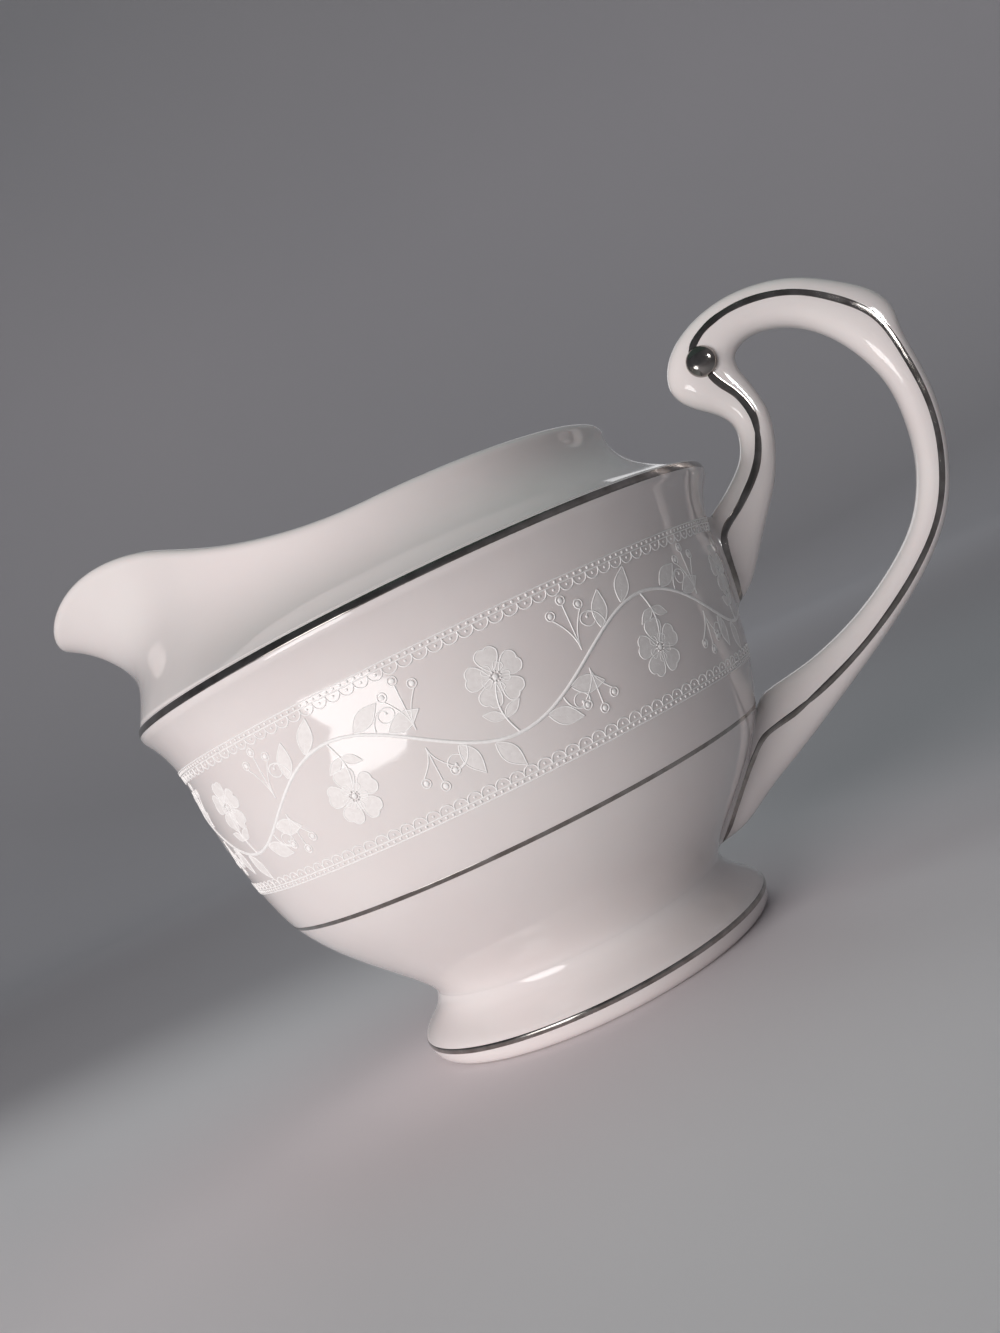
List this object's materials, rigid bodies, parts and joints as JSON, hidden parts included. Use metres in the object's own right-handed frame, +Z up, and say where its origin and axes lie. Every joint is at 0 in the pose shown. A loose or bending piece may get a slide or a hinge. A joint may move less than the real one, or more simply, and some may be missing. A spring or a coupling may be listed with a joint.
{
  "type": "china creamer",
  "caption": "Footed china creamer with an upswept pouring spout, swan-neck scroll handle, metal edge lines and a raised white enamel frieze",
  "frame": {"origin": "centre of the foot's resting ring, on the table", "axes": "+X through the handle, away from the spout; +Z up; +Y to the side"},
  "size_m": [0.1394, 0.0956, 0.0891],
  "materials": {
    "glazed_china": "gloss",
    "platinum": "mirror",
    "white_enamel": "satin"
  },
  "bodies": {
    "root": {"bowl": "glazed_china", "spout_collar": "glazed_china", "pedestal_foot": "glazed_china", "handle": "glazed_china", "shoulder_line": "platinum", "waist_line": "platinum", "foot_line": "platinum", "handle_line_front": "platinum", "handle_line_rear": "platinum", "scroll_eye_front": "platinum", "scroll_eye_rear": "platinum", "enamel_vine": "white_enamel", "enamel_leaves": "white_enamel", "enamel_blossoms": "white_enamel", "enamel_berries": "white_enamel", "upper_border": "white_enamel", "lower_border": "white_enamel"}
  },
  "joints": []
}
